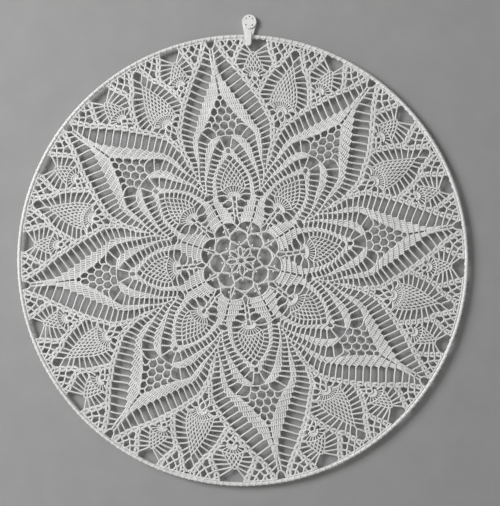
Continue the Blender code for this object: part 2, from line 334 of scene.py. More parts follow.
def centre():
    """The ring and its petals, the eight big cells round them, and the star's outer arcs."""
    # a ring of single crochets
    for r, radii, height in ((3.2, (0.6, 0.6, 0.6, 0.6), 0.1), (5.1, (0.75, 0.7, 0.75, 0.7), 0.2)):
        strand(half, [flat((u, r)) for u in (0.0, 7.5, 15.0, HALF)], radii, height)
    post(half, (11.2, 3.1), (11.2, 5.3), 0.82, 0.2, 0.4)
    # eight lens petals, each of two tall stitches
    chain(half, [at(1.3, 4.9), at(2.4, 7.8), at(2.7, 10.6), at(1.9, 14.0), at(0.3, 16.5)], 0.1, 0.82, 2.6)
    # low chains between the petals' tips, with a knot in each
    chain(half, [at(0.3, 16.9), (11.0, 14.3), (HALF, 12.2)], 0.2, 0.78)
    picot(whole, HALF, 13.7)
    # arches worked over, with a knot on the leaf axis
    covered(half, [at(0.2, 18.4), at(3.5, 19.5), at(6.9, 21.7), (HALF, 24.4)])
    picot(whole, 0.0, 21.1, 1.1)
    # arches about the eight big cells
    chain(whole, [(HALF, 23.9), (HALF, 25.9), (HALF, 27.9)], 0.2, 0.9)
    covered(half, [(HALF, 27.3), at(10.0, 29.3), at(7.1, 31.9), at(3.8, 33.8), at(0.0, 34.5)])
    # crossed strands on the leaf axis, and the star's outer arcs
    chain(half, [at(5.1, 33.9), at(2.1, 35.9), at(0.0, 37.9), at(-1.9, 40.0), at(-3.4, 42.1)], 0.3, 0.9)
    chain(half, [at(0.3, 38.8), at(2.2, 40.7), at(5.1, 42.5), at(10.6, 43.6), at(14.4, 43.2), (HALF, 45.0)],
          0.2, 0.95)
    chain(half, [at(3.8, 42.1), at(3.0, 44.8), at(2.1, 47.7), at(1.6, 50.3)], 0.2, 1.0)
    # spikes of two strands, with a knot outside each
    chain(half, [(18.2, 30.6), (19.4, 33.3), (20.6, 37.7), (22.1, 43.7)], 0.35, 0.82)
    picot(half, 17.8, 37.5, 1.1)
    chain(half, [(20.6, 37.0), (18.8, 37.4)], 0.4, 1.0)


# -- Solid fans, their side loops and the column under each inner pineapple --

# How many posts a row has, then the spots at its foot and at its top, beside the leaf's axis and beside the
# gap's middle.
FAN_ROWS = (
    (7, (5.0, 42.9), (21.8, 44.8), (5.8, 48.6), (21.8, 49.2)),
    (7, (6.1, 48.8), (21.8, 49.3), (6.7, 53.7), (21.7, 55.7)),
    (6, (9.4, 54.2), (21.7, 55.8), (8.8, 59.2), (21.6, 62.9)),
    (5, (13.0, 61.2), (21.6, 63.0), (12.6, 66.5), (21.5, 69.6)),
    (4, (14.6, 67.2), (21.8, 69.7), (15.1, 75.2), (20.4, 74.5)),
    (3, (15.1, 75.2), (20.4, 74.5), (13.6, 80.8), (18.4, 78.9)),
)


def fans():
    """The solid fans, the column between them, and the chains that join them."""
    for count, foot_a, foot_b, top_a, top_b in FAN_ROWS:
        row(half, foot_a, foot_b, top_a, top_b, count, 1.1, 0.6)
        chain(half, [(foot_a[0] - 1.8, foot_a[1] - 0.3), foot_a], 0.2, 0.95)
    # chains that cross the gap between two fans
    for r in (49.2, 55.7, 62.9, 69.6):
        post(whole, (20.9, r), (24.1, r), 1.1, 0.3, 0.3)
    chain(whole, [(20.0, 74.2), (HALF, 73.5), (25.0, 74.2)], 0.3)
    # a thick column with three holes up the leaf axis, and the chains from it out to the fans
    chain(half, [at(1.7, 50.1), at(2.1, 53.9), at(1.8, 57.6)], 0.2, 1.25)
    chain(half, [at(1.8, 57.9), at(2.2, 61.6), at(1.9, 65.4)], 0.2, 1.25)
    chain(half, [at(1.9, 65.6), at(2.5, 68.3), at(2.8, 70.7)], 0.2, 1.25)
    for r in (50.2, 57.9, 65.7):
        post(whole, at(-1.9, r), at(1.9, r), 1.05, 0.3, 0.3)
    chain(half, [at(2.1, 53.7), at(4.4, 53.0), at(6.9, 53.4)], 0.1, 1.3)
    chain(half, [at(2.2, 61.4), at(3.8, 60.0), at(6.0, 58.9), at(9.3, 58.6)], 0.1, 1.3)
    chain(half, [at(2.8, 67.0), at(4.9, 67.8), at(7.5, 68.0), at(11.3, 65.9), at(14.4, 64.7)], 0.1, 1.15)
    chain(half, [at(7.1, 71.8), at(10.6, 73.1), at(14.6, 73.1), at(19.5, 72.5)], 0.1)


# -- Ladders of chain between the bands --

# Each rung's middle in degrees and millimetres, then half its reach in each.
LADDER_1 = (
    (11.1, 80.5, 2.4, 0.3), (11.3, 84.9, 1.8, 1.0), (10.4, 89.1, 1.7, 1.3), (9.25, 93.3, 1.7, 1.7),
    (7.8, 97.2, 1.7, 1.8), (6.3, 100.7, 1.7, 1.9), (4.7, 104.1, 1.6, 2.0), (2.95, 107.6, 1.5, 2.0),
    (1.25, 111.7, 1.25, 2.0),
)
LADDER_2 = (
    (20.0, 80.3, 1.6, 1.6), (19.0, 84.5, 1.5, 1.6), (17.6, 89.1, 1.6, 1.8), (16.2, 93.6, 1.5, 1.8),
    (14.8, 97.8, 1.5, 1.8), (13.15, 101.9, 1.55, 1.8), (11.5, 105.9, 1.6, 1.9), (9.9, 110.3, 1.75, 2.1),
    (8.3, 115.0, 1.85, 2.3), (6.6, 120.1, 1.9, 2.8), (4.8, 125.9, 1.6, 3.3), (2.3, 131.3, 0.8, 6.0),
)
LADDER_3 = (
    (21.8, 88.6, 0.6, 0.2), (21.1, 93.0, 0.8, 0.4), (20.45, 97.8, 1.0, 0.7), (19.4, 102.7, 1.1, 0.8),
    (18.2, 107.5, 1.15, 0.9), (17.05, 112.2, 1.2, 1.0), (16.0, 117.0, 1.2, 1.1), (15.05, 121.9, 1.25, 1.3),
    (14.1, 127.4, 1.3, 1.8), (13.0, 132.4, 1.5, 2.4), (11.65, 137.2, 2.0, 3.3), (8.9, 142.8, 1.9, 5.7),
)
LADDER_4 = (
    (21.9, 105.6, 0.4, 0.2), (21.2, 110.4, 0.85, 0.3), (20.75, 115.4, 1.0, 0.6), (20.2, 120.6, 1.15, 0.7),
    (19.9, 126.5, 1.35, 1.0), (19.6, 133.1, 1.5, 1.7), (18.9, 139.9, 1.6, 2.7), (18.1, 145.8, 1.6, 3.5),
    (17.1, 151.2, 1.65, 4.3), (15.8, 156.2, 1.75, 4.9), (14.4, 161.1, 1.8, 5.3), (13.0, 166.6, 1.85, 5.5),
    (11.6, 172.6, 1.9, 5.5), (10.1, 178.5, 1.9, 5.5), (8.6, 184.6, 1.9, 5.5), (7.2, 191.0, 1.9, 5.4),
    (5.8, 197.9, 1.85, 5.2), (4.5, 204.9, 1.8, 4.8), (3.15, 212.1, 1.65, 4.2), (2.1, 219.6, 1.3, 3.1),
    (1.6, 226.6, 1.0, 2.4), (1.25, 232.3, 0.7, 2.0),
)


def near(rung):
    """The end of a rung beside the leaf's axis."""
    return (rung[0] - rung[2], rung[1] - rung[3])


def far(rung):
    """The end of a rung beside the gap's middle."""
    return (rung[0] + rung[2], rung[1] + rung[3])


def rungs(ladder):
    """The rungs of a ladder that go from one band to the next."""
    for rung in ladder:
        chain(half, [near(rung), rung[:2], far(rung)])


# -- The leaf's honeycomb --

LEAF_EDGE = (              # inner edge of the leaf band, from the shoulder to the tip
    (9.5, 150.3), (7.5, 155.6), (5.75, 161.0), (4.2, 166.6), (2.85, 172.9), (1.6, 179.4), (0.3, 186.0),
    (0.2, 192.3), (0.18, 198.4), (0.16, 204.8), (0.3, 211.2), (0.4, 217.3), (0.3, 223.7),
)


def honeycomb():
    """The cells inside a leaf: upright walls, the loops over them, and the oval at each shoulder."""
    walls = (
        (0.0, 139.7, 144.6), (4.1, 138.8, 144.3), (1.9, 147.2, 153.2), (5.2, 148.6, 153.2),
        (0.0, 155.9, 161.4), (3.1, 156.1, 161.6), (1.5, 164.1, 169.6), (4.4, 164.3, 168.1),
        (0.0, 172.1, 177.8), (2.4, 172.3, 176.7), (1.0, 180.3, 183.8),
    )
    for u, low, high in walls:
        post(whole if u == 0.0 else half, (u, low), (u, high), 1.0, 0.0, 0.2, 0.9)
    roofs = (
        ((0.0, 144.6), (2.0, 147.4), (4.1, 144.3)),
        ((1.9, 153.2), (3.5, 156.2), (5.2, 153.2)),
        ((0.0, 161.4), (1.55, 164.2), (3.1, 161.6)),
        ((3.1, 161.6), (4.4, 164.5), (5.7, 162.1)),
        ((1.5, 169.6), (2.9, 172.5), (4.3, 168.3)),
        ((0.0, 177.8), (1.15, 180.5), (2.3, 176.9)),
    )
    for a, top, b in roofs:
        loop(half, a, top, b, 1.0, 0.5)
    for u, low, high in ((1.9, 153.2, 156.1), (1.5, 169.6, 172.2), (1.0, 183.8, 185.4)):
        loop(whole, (-u, low), (0.0, high), (u, low), 1.0, 0.5)
    # the big oval at the leaf's shoulder, and the small cell above it
    chain(half, [(4.1, 144.3), (4.6, 146.8), (5.2, 148.8)], 0.1)
    chain(half, [(5.2, 148.9), (6.4, 151.1), (8.0, 151.4), (9.7, 150.0)], 0.1, 1.0)
    chain(half, [(5.2, 153.2), (5.05, 155.9), (5.8, 158.1), (7.0, 157.4)], 0.1, 1.0)


# -- Columns of shells --

COLUMN_1 = (               # tops of the shells beside the leaf, round by round
    (21.5, 144.1), (20.95, 150.5), (20.1, 156.6), (18.75, 162.2), (17.2, 167.5), (15.75, 173.3),
    (14.4, 179.3), (12.95, 185.1), (11.4, 191.2), (10.0, 197.6), (8.55, 204.2), (7.2, 210.7), (5.75, 217.4),
)
COLUMN_1A = ((4.35, 223.9), (3.4, 230.1), (2.55, 236.4), (1.9, 243.0))
COLUMN_1B = ((6.15, 224.4), (6.95, 230.6), (7.75, 236.7), (8.5, 243.2))
COLUMN_2 = ((13.75, 190.9), (14.6, 197.6), (15.3, 204.0), (16.25, 210.3), (17.25, 216.5))
COLUMN_2A = ((17.5, 223.1), (16.6, 229.0), (15.75, 235.2), (15.1, 242.1))
COLUMN_2B = ((19.1, 222.8), (19.7, 228.4), (20.5, 234.4), (21.2, 240.8))


def column(out, spot, tops, spread=2.4):
    """Shells worked one into the other, from a spot out over their tops."""
    for top in tops:
        shell(out, spot, top, spread)
        spot = top


def columns():
    """The columns of shells that fork from the gap's middle to the rim."""
    # the single column in the middle of the gap
    post(whole, (HALF, 105.1), (HALF, 112.0), 1.0)
    post(whole, (HALF - 0.3, 111.7), (HALF - 0.4, 117.5), 0.9)
    post(whole, (HALF + 0.3, 111.7), (HALF + 0.4, 117.5), 0.9)
    column(whole, (HALF, 117.3), [(HALF, r) for r in (123.5, 130.1, 137.4)], 1.8)
    column(half, (HALF - 0.5, 137.7), COLUMN_1)
    column(half, COLUMN_1[-1], COLUMN_1A, 2.2)
    column(half, COLUMN_1[-1], COLUMN_1B, 2.2)
    column(half, COLUMN_1[7], COLUMN_2)
    column(half, COLUMN_2[-1], COLUMN_2A, 2.2)
    column(half, COLUMN_2[-1], COLUMN_2B, 2.2)
    for last in (COLUMN_1A[-1], COLUMN_1B[-1], COLUMN_2A[-1], COLUMN_2B[-1]):
        for x in (-1.8, 1.8):
            chain(half, [moved(last, x, 0.2), (moved(last, x * 1.2, 0.0)[0], RIM_R)], 0.2)


def outer_ladder():
    """The long rungs from the leaf band to the first column of shells."""
    first_shell, fork = 6, 19
    for i, rung in enumerate(LADDER_4):
        if i < first_shell:
            end = (max(far(rung)[0], 21.75), far(rung)[1] + 0.3)
        elif i < fork:
            end = corner(COLUMN_1[i - first_shell], near(rung))
        else:
            end = corner(COLUMN_1A[i - fork], near(rung))
        chain(half, [near(rung), end])


# -- Pineapples --

def big_pineapple():
    """The large one in the middle of the gap between two leaves."""
    hub = 170.1

    def around(angle, r):
        """Degrees round the hub from straight outward, and millimetres from it."""
        a = math.radians(angle)
        return off(HALF, -r * math.sin(a), hub + r * math.cos(a))

    def spot(x, y):
        """Millimetres from the gap's middle line towards the leaf, and outward."""
        return off(HALF, -x, y)

    # the teardrop between the two columns, and the crossing above it
    chain(whole, [spot(3.5, 151.8), spot(0.0, 151.4), spot(-3.5, 151.8)], 0.2)
    chain(half, [spot(4.0, 156.8), spot(2.1, 159.9), spot(0.0, 162.2)], 0.3, 1.2)
    # the arch over the crossing, and the three holes on either side of it
    chain(half, [spot(0.0, 162.2), spot(2.2, 164.5), spot(3.0, 167.3), spot(2.2, 170.1), spot(0.0, 171.7)],
          0.35, 1.25)
    chain(half, [spot(4.0, 157.4), spot(6.1, 160.3), spot(5.9, 163.6), spot(4.9, 166.5), spot(3.1, 168.3)],
          0.2, 1.15)
    chain(half, [spot(9.3, 162.4), spot(7.3, 163.7), spot(5.8, 164.5)], 0.1, 1.15)
    chain(half, [spot(13.7, 167.3), spot(10.9, 169.5), spot(8.0, 170.6), spot(4.4, 169.2)], 0.2, 1.15)
    chain(half, [spot(18.2, 172.5), spot(14.4, 174.4), spot(10.6, 174.4), spot(7.8, 172.5)], 0.2, 1.15)
    # the fan and the tall row round it
    for i in range(8):
        t = 13.6 * i
        post(half if i else whole, around(t, 2.3), around(t, 5.8), 1.0)
    chain(half, [around(t, 5.9) for t in range(0, 97, 16)], 0.4, 0.85)
    for i in range(6):
        t = 6.5 + 13.2 * i
        post(half, around(t, 6.0 + 0.02 * t), around(t, dished(11.8, 2.9, 72.0, t)), 0.76)
    chain(half, [around(t, dished(11.9, 2.9, 72.0, t)) for t in range(0, 78, 11)], 0.35, 0.9)
    rows = (
        (11, 14.0, 182.4, 178.0), (10, 14.4, 186.2, 181.8), (9, 14.1, 190.1, 186.6),
        (8, 13.2, 194.1, 191.3), (7, 11.8, 198.1, 196.2), (6, 9.9, 202.1, 201.0),
        (5, 7.9, 206.2, 205.4), (4, 5.9, 210.2, 209.6), (3, 4.0, 214.3, 214.0),
        (2, 2.1, 218.3, 218.2), (1, 0.0, 221.5, 221.5),
    )
    levels = levels_of(rows)
    net(HALF, levels, 0.9)
    # rungs from the outermost anchors to the column beside it
    for level, top in zip(levels, COLUMN_1[5:8] + COLUMN_2 + COLUMN_2B[:2]):
        u, r = level[-1]
        start = (HALF - u, r)
        chain(half, [start, corner(top, start)])
    chain(whole, [(HALF, 221.1), (HALF, 223.3), (HALF, 225.9)], 0.15, 1.05)
    chain(half, [(HALF, 225.7), (21.8, 229.3), (21.2, 233.7), (20.9, 235.9)], 0.0, 1.0)
    chain(half, [(21.0, 235.9), (21.7, 239.0), (HALF, 240.9)], 0.2, 1.05)
    chain(half, [(HALF, 240.9), (21.7, 242.3), (21.4, RIM_R)], 0.1, 1.0)


def small_pineapple():
    """The small one between the two columns, on one side of the leaf; its axis slants towards the leaf."""
    u0, hub = 11.65, 204.8

    def spot(x, y):
        """Millimetres across from the slanted axis and outward."""
        return off(u0, x + (SKEW_FROM - y) * 0.13, y)

    def around(angle, r):
        """Degrees round the hub from straight outward, and millimetres from it."""
        a = math.radians(angle)
        return spot(r * math.sin(a), hub + r * math.cos(a))

    for side in (-1, 1):
        # strands from the columns that cross under the hub, and the round hole over the crossing
        chain(half, [spot(side * 4.0, 193.3), spot(side * 2.2, 196.0), spot(0.0, 198.4)], 0.3, 1.25)
        chain(half, [spot(0.0, 198.4), spot(side * 2.4, 199.9), spot(side * 3.1, 202.0),
                     spot(side * 2.1, 204.3), spot(0.0, 205.3)], 0.35, 1.25)
        # the holes on either side of it
        chain(half, [spot(side * 6.0, 195.8), spot(side * 5.5, 198.7), spot(side * 4.7, 200.9),
                     spot(side * 3.1, 202.0)], 0.2, 1.2)
        chain(half, [spot(side * 9.8, 202.0), spot(side * 7.8, 200.5), spot(side * 5.1, 200.2)], 0.1, 1.2)
        chain(half, [spot(side * 12.9, 207.5), spot(side * 10.0, 206.5), spot(side * 6.7, 206.0)], 0.1, 1.2)
    for i in range(11):
        t = -90.0 + 18.0 * i
        post(half, around(t, 1.1), around(t, 5.1), 0.98)
    chain(half, [around(t, 5.2) for t in range(-96, 97, 16)], 0.4, 0.85)
    for i in range(7):
        t = -57.0 + 19.0 * i
        post(half, around(t, 5.3), around(t, dished(10.2, 2.4, 57.0, t)), 0.76)
    chain(half, [around(t, dished(10.3, 2.4, 57.0, t)) for t in range(-66, 67, 11)], 0.35, 0.9)
    rows = (
        (6, 10.3, 215.5, 213.1), (5, 8.0, 219.7, 218.4), (4, 6.1, 223.3, 222.6), (3, 4.2, 226.7, 226.4),
        (2, 2.5, 229.7, 229.6), (1, 0.0, 231.9, 231.9),
    )
    skew = -0.021
    levels = levels_of(rows)
    net(u0, levels, 0.9, True, skew)
    # rungs from the outermost anchors to the columns on either side, and two from its tip
    lefts = COLUMN_1[11:] + COLUMN_1B[:3]
    rights = COLUMN_2[3:] + COLUMN_2A[:3]
    for level, left, right in zip(levels, lefts, rights):
        u, r = level[-1]
        axis = u0 + skew * (r - SKEW_FROM)
        for start, top in (((axis - u, r), left), ((axis + u, r), right)):
            chain(half, [start, corner(top, start)])
    tip = 231.0
    axis = u0 + skew * (tip - SKEW_FROM)
    for side, top in ((-1, COLUMN_1B[3]), (1, COLUMN_2A[3])):
        start = (axis + side * 0.5, tip)
        chain(half, [start, corner(top, start)], 0.0, 1.0)


def inner_pineapple():
    """The one on the leaf's axis near the centre: a fan out of one space, a tall row, a net to a point."""
    hub = 69.4

    def around(angle, r):
        """Degrees round the hub from straight outward, and millimetres from it."""
        a = math.radians(angle)
        return at(r * math.sin(a), hub + r * math.cos(a))

    tops = (0, 13, 26, 39, 52, 65, 79)
    for foot, top in zip((0, 20, 40, 58, 74, 90, 106), tops):
        post(half if top else whole, around(foot, 2.7), around(top, 6.1 + 0.02 * top), 1.0)
    chain(half, [around(t, 6.2 + 0.02 * t) for t in tops], 0.4, 0.85)
    crown = []
    for t in (0.0, 15.0, 29.0, 41.0, 54.0):
        crown.append(around(t, dished(14.3, 1.2, 54.0, t)))
        post(half if t else whole, around(t, dished(6.5, 1.0, 54.0, t)), crown[-1], 0.74)
    chain(half, crown + [(9.4, 83.6)], 0.35, 0.95)
    rows = (
        (8, 13.6, 83.8, 81.4), (7, 13.1, 87.5, 87.6), (6, 12.1, 90.6, 91.6), (5, 10.1, 93.9, 95.2),
        (4, 7.9, 97.3, 98.7), (3, 5.5, 100.8, 102.0), (2, 2.8, 104.9, 105.5), (1, 0.0, 109.3, 109.3),
    )
    net(0.0, levels_of(rows), 0.82)
    # the diamond and the small hole at its tip
    chain(half, [(0.0, 109.3), (1.9, 112.6), (2.3, 114.2)], 0.1)
    chain(half, [(2.4, 114.4), (1.2, 116.6), (0.0, 118.2)], 0.1)


def nets():
    """Triangles of net cells that widen to the rim, beside the columns."""
    for left, right, mid in ((COLUMN_1A, COLUMN_1B, 5.1), (COLUMN_2A, COLUMN_2B, 18.3)):
        one = (mid, 233.5)
        two_a, two_b = (mid - 1.05, 239.2), (mid + 1.05, 239.2)
        rim = (mid, 242.8)
        for a, top, b in (
            (corner(left[1], one), one, corner(right[1], one)),
            (corner(left[2], two_a), two_a, one),
            (one, two_b, corner(right[2], two_b)),
            (corner(left[3], rim), (mid - 2.0, RIM_R), two_a),
            (two_a, (mid, RIM_R), two_b),
            (two_b, (mid + 2.0, RIM_R), corner(right[3], rim)),
        ):
            loop(half, a, top, b, 1.15)
    # the edge chain that the lashing holds
    chain(half, [(u, 244.9) for u in np.linspace(1.3, 9.0, 7)], 0.3, 1.0)
    chain(half, [(u, 244.9) for u in np.linspace(14.3, HALF, 8)], 0.3, 1.0)


def bands():
    """The solid bands between the ladders, from the fans out to the leaf's edge and tip."""
    # from the fans to the tip under the leaf
    fan_top = FAN_ROWS[-1][3:]
    band([fan_top] + [(far(a), near(b)) for a, b in zip(LADDER_1[1:], LADDER_2[1:9])] + [
        ((0.3, 118.4), near(LADDER_2[9])), ((1.0, 123.5), near(LADDER_2[10])), ((0.2, 125.5), (1.4, 125.5)),
    ])
    chain(whole, [(-1.0, 118.6), (0.0, 118.8), (1.0, 118.6)], 0.3)
    chain(whole, [(-1.6, 125.1), (0.0, 125.7), (1.6, 125.1)], 0.3)
    # between the second and third ladders, up to the foot of the leaf
    inner = [far(rung) for rung in LADDER_2]
    outer = [near(rung) for rung in LADDER_3]
    band([((21.2, 79.6), (HALF, 80.7)), (inner[0], (HALF, 84.9))] + list(zip(inner[1:], outer)))
    row(half, (3.2, 135.2), (9.4, 134.0), (2.6, 139.7), (7.0, 137.5), 4)
    chain(whole, [(-3.2, 138.8), (0.0, 139.9), (3.2, 138.8)], 0.3, 0.8)
    # the leaf's own band, between the third and fourth ladders and then along the leaf's edge
    inner = [far(rung) for rung in LADDER_3[2:]] + list(LEAF_EDGE)
    outer = [(HALF, 101.1)] + [near(rung) for rung in LADDER_4]
    chain(whole, [(HALF, 87.8), (HALF, 92.5), (HALF, 97.1)], 0.2, 1.05)
    band([((21.8, 96.4), (HALF, 96.7))] + list(zip(inner, outer)))
    # bars across the slits up the leaf's middle, and the two columns of single stitches up to its tip
    for r in (186.2, 192.3, 198.4, 204.8, 211.2, 217.3):
        chain(whole, [(-0.45, r), (0.0, r), (0.45, r)], 0.3, 0.7)
    chain(whole, [(0.0, 207.3), (0.0, 214.6), (0.0, 222.2)], 0.3, 0.9)
    for low, high in ((223.7, 230.1), (230.1, 236.4)):
        post(half, (0.4, low), (0.4, high), 1.1)
        chain(whole, [(-0.6, high), (0.0, high), (0.6, high)], 0.3, 0.75)
    chain(half, [(0.3, 236.6), (0.9, 239.0), (1.15, 242.8), (1.3, RIM_R)], 0.2, 1.15)


centre()
fans()
inner_pineapple()
rungs(LADDER_1)
rungs(LADDER_2)
rungs(LADDER_3)
outer_ladder()
bands()
honeycomb()
columns()
big_pineapple()
small_pineapple()
nets()


# ---- From the chart to thread ----

def lean_at(table, even):
    """Leans for an array of directions given as even degrees from +X."""
    values = np.asarray(table)
    place = ((even - LEAF_ZERO) % 360.0) / (360.0 / len(values))
    first = np.floor(place).astype(int) % len(values)
    t = 0.5 - 0.5 * np.cos(math.pi * (place - np.floor(place)))
    return values[first] + (values[(first + 1) % len(values)] - values[first]) * t


def waver(x, z):
    """The small unevenness of hand work, in millimetres, the same for every strand that meets at a place.

    It is a sum of waves of three lengths that are out of step with each other.
    """
    short, middle, long = 0.12, 0.22, 0.28
    dx = (middle * np.sin(x / 5.3 + 1.7 * np.sin(z / 9.1)) + long * np.sin(z / 13.7 + x / 31.0 + 0.6)
          + short * np.sin(z / 2.9 + 0.8 * x / 4.1))
    dz = (middle * np.sin(z / 5.9 + 1.5 * np.sin(x / 8.3) + 2.1) + long * np.sin(x / 14.9 - z / 27.0)
          + short * np.sin(x / 3.1 - 0.7 * z / 4.3 + 1.2))
    return dx, dz


def placed(points, leaf, side):
    """Charted points (..., 3), laid out in the flat, as points in the part's frame, in metres."""
    x, y, height = points[..., 0], points[..., 1], points[..., 2]
    r = np.hypot(x, y)
    even = LEAF_ZERO + 2.0 * HALF * leaf + side * np.degrees(np.arctan2(x, y))
    share = np.clip((r - INNER_R) / (OUTER_R - INNER_R), 0.0, 1.0)
    angle = np.radians(even + lean_at(LEAN_INNER, even) * (1.0 - share) + lean_at(LEAN_OUTER, even) * share)
    px, pz = r * np.cos(angle), r * np.sin(angle)
    dx, dz = waver(px, pz)
    soft = np.clip((RIM_R + WAVER_END - r) / RIM_CALM, 0.0, 1.0) * np.clip(r / CENTRE_CALM, LEAST_WAVER, 1.0)
    return np.stack((px + dx * soft, WIRE_Y - height, pz + dz * soft + HOOP_Z), axis=-1) * MM


def rings(a, b):
    """Points round an oval with the half axes a and b, (..., 3) to (..., SIDES, 3)."""
    turn = np.arange(SIDES)[:, None] * (2.0 * math.pi / SIDES)
    return a[..., None, :] * np.cos(turn) + b[..., None, :] * np.sin(turn)


def tube_faces(n):
    """The quads along a tube of n rings and the triangles at its tips, whose vertices come last."""
    i, k = np.divmod(np.arange((n - 1) * SIDES), SIDES)
    here, beside = i * SIDES + k, i * SIDES + (k + 1) % SIDES
    quads = np.column_stack((here, beside, beside + SIDES, here + SIDES))
    k = np.arange(SIDES)
    beside, last = (k + 1) % SIDES, (n - 1) * SIDES
    first_tip, last_tip = np.full(SIDES, n * SIDES), np.full(SIDES, n * SIDES + 1)
    tips = (np.column_stack((first_tip, beside, k)), np.column_stack((last_tip, last + k, last + beside)))
    return quads, np.concatenate(tips)


def corners_uv(*corners):
    """The UVs of faces, from the u and v of each of their corners, as (tubes, faces, corners, 2)."""
    return np.stack([np.stack(np.broadcast_arrays(u, v), axis=-1) for u, v in corners], axis=2)


def tube_uvs(paths):
    """UVs for tube_faces() on paths (count, points, 3): once round is 1, and along is in millimetres."""
    steps = np.linalg.norm(np.diff(paths, axis=1), axis=2)
    run = np.concatenate((np.zeros((len(paths), 1)), np.cumsum(steps, axis=1)), axis=1) / MM
    i, k = np.divmod(np.arange(steps.shape[1] * SIDES), SIDES)
    low, high = k / SIDES, (k + 1) / SIDES
    quads = corners_uv((low, run[:, i]), (high, run[:, i]), (high, run[:, i + 1]), (low, run[:, i + 1]))
    k = np.arange(SIDES)
    low, mid, high = k / SIDES, (k + 0.5) / SIDES, (k + 1) / SIDES
    start, end = run[:, :1], run[:, -1:]
    first = corners_uv((mid, start - TIP_RUN), (high, start), (low, start))
    last = corners_uv((mid, end + TIP_RUN), (low, end), (high, end))
    return quads, np.concatenate((first, last), axis=1)


def tubes(centres, radii, flatness):
    """Closed tubes round paths (count, points, 3) with radii (count, points), as vertices, faces and UVs."""
    count, n = radii.shape
    along = unit(np.gradient(centres, axis=1))
    across = unit(np.cross(along, AHEAD))
    up = np.cross(across, along) * flatness[:, None, None]
    verts = centres[:, :, None] + rings(across, up) * radii[:, :, None, None]
    start = centres[:, :1] - along[:, :1] * radii[:, :1, None] * TIP
    end = centres[:, -1:] + along[:, -1:] * radii[:, -1:, None] * TIP
    verts = np.concatenate((verts.reshape(count, n * SIDES, 3), start, end), axis=1)
    quads, tips = tube_faces(n)
    first = (np.arange(count) * verts.shape[1])[:, None, None]
    return verts, quads + first, tips + first, *tube_uvs(centres)


def in_scene(name, data):
    """A new object in the scene."""
    obj = bpy.data.objects.new(name, data)
    bpy.context.scene.collection.objects.link(obj)
    return obj


def mesh_from(name, parts):
    """One mesh object from sets of vertices, quads, triangles, and the UVs of both."""
    shifted = []
    start = 0
    for verts, quads, tris, quad_uv, tri_uv in parts:
        verts = verts.reshape(-1, 3)
        shifted.append((verts, quads.reshape(-1, 4) + start, tris.reshape(-1, 3) + start,
                        quad_uv.reshape(-1, 2), tri_uv.reshape(-1, 2)))
        start += len(verts)
    verts, quads, tris, quad_uv, tri_uv = [np.concatenate(kind) for kind in zip(*shifted)]
    mesh = bpy.data.meshes.new(name)
    mesh.vertices.add(len(verts))
    mesh.vertices.foreach_set("co", verts.astype(np.float32).ravel())
    corners = np.concatenate((quads.ravel(), tris.ravel())).astype(np.int32)
    mesh.loops.add(len(corners))
    mesh.loops.foreach_set("vertex_index", corners)
    starts = np.concatenate((np.arange(len(quads)) * 4, quads.size + np.arange(len(tris)) * 3))
    mesh.polygons.add(len(starts))
    mesh.polygons.foreach_set("loop_start", starts.astype(np.int32))
    mesh.update(calc_edges=True)
    mesh.polygons.foreach_set("use_smooth", np.ones(len(starts), bool))
    layer = mesh.uv_layers.new(name="thread")
    layer.data.foreach_set("uv", np.concatenate((quad_uv, tri_uv)).astype(np.float32).ravel())
    mesh.validate()
    return in_scene(name, mesh)


def grouped(strands):
    """Strands sorted by their number of points, each group as arrays of paths, radii and flatness."""
    sizes = {}
    for points, radii, flatness in strands:
        sizes.setdefault(len(points), []).append((points, radii, flatness))
    return [[np.array(kind) for kind in zip(*group)] for _, group in sorted(sizes.items())]


lace = []
for leaf in range(LEAVES):
    parts = []
    for side in (1, -1):
        for points, radii, flatness in grouped(half + whole if side == 1 else half):
            uneven = radii * rng.uniform(*THICKNESS, (len(radii), 1))
            parts.append(tubes(placed(points, leaf, side), uneven * MM, flatness))
    lace.append(mesh_from("lace_leaf_%d" % (leaf + 1), parts))


def on_hoop(radius, height, angle):
    """Points at angles round the hoop's centre, in metres, that stand out towards the viewer by height."""
    x, z = radius * np.cos(angle), radius * np.sin(angle) + HOOP_Z
    return np.stack((x, WIRE_Y - height, z), axis=-1) * MM


def lashing():
    """Thread wound over the wire and through the lace's edge, with a break where the hook carries it."""
    t = np.linspace(0.0, 1.0, TURNS * TURN_POINTS + 1)
    gap = math.radians(HOOK_GAP)
    around_hoop = math.pi / 2.0 + gap + t * (2.0 * math.pi - 2.0 * gap)
    wind = t * TURNS * 2.0 * math.pi
    wind += LASH_SNAP * np.sin(wind)
    reach = WIRE_RADIUS + LASH_REACH + LASH_UNEVEN * np.sin(t * LASH_WAVES)
    centres = on_hoop(HOOP_RADIUS + reach * np.cos(wind), reach * np.sin(wind), around_hoop)
    along = unit(np.gradient(centres, axis=0))
    outward = centres - on_hoop(HOOP_RADIUS, np.zeros(len(t)), around_hoop)
    outward = unit(outward - along * (outward * along).sum(axis=1, keepdims=True))
    radius = LASH_R * MM
    verts = centres[:, None] + rings(outward, np.cross(along, outward)) * radius
    tip = along * radius * LASH_TIP
    verts = np.concatenate((verts.reshape(-1, 3), centres[:1] - tip[:1], centres[-1:] + tip[-1:]))
    # these rings turn the other way round than those of tubes(), so the faces' corners do too
    quad_turn, tri_turn = (0, 3, 2, 1), (0, 2, 1)
    quads, tips = tube_faces(len(t))
    quad_uv, tip_uv = tube_uvs(centres[None])
    return mesh_from("lashing", [(verts, quads[:, quad_turn], tips[:, tri_turn],
                                  quad_uv[:, :, quad_turn], tip_uv[:, :, tri_turn])])


wound = lashing()


# ---- Materials ----

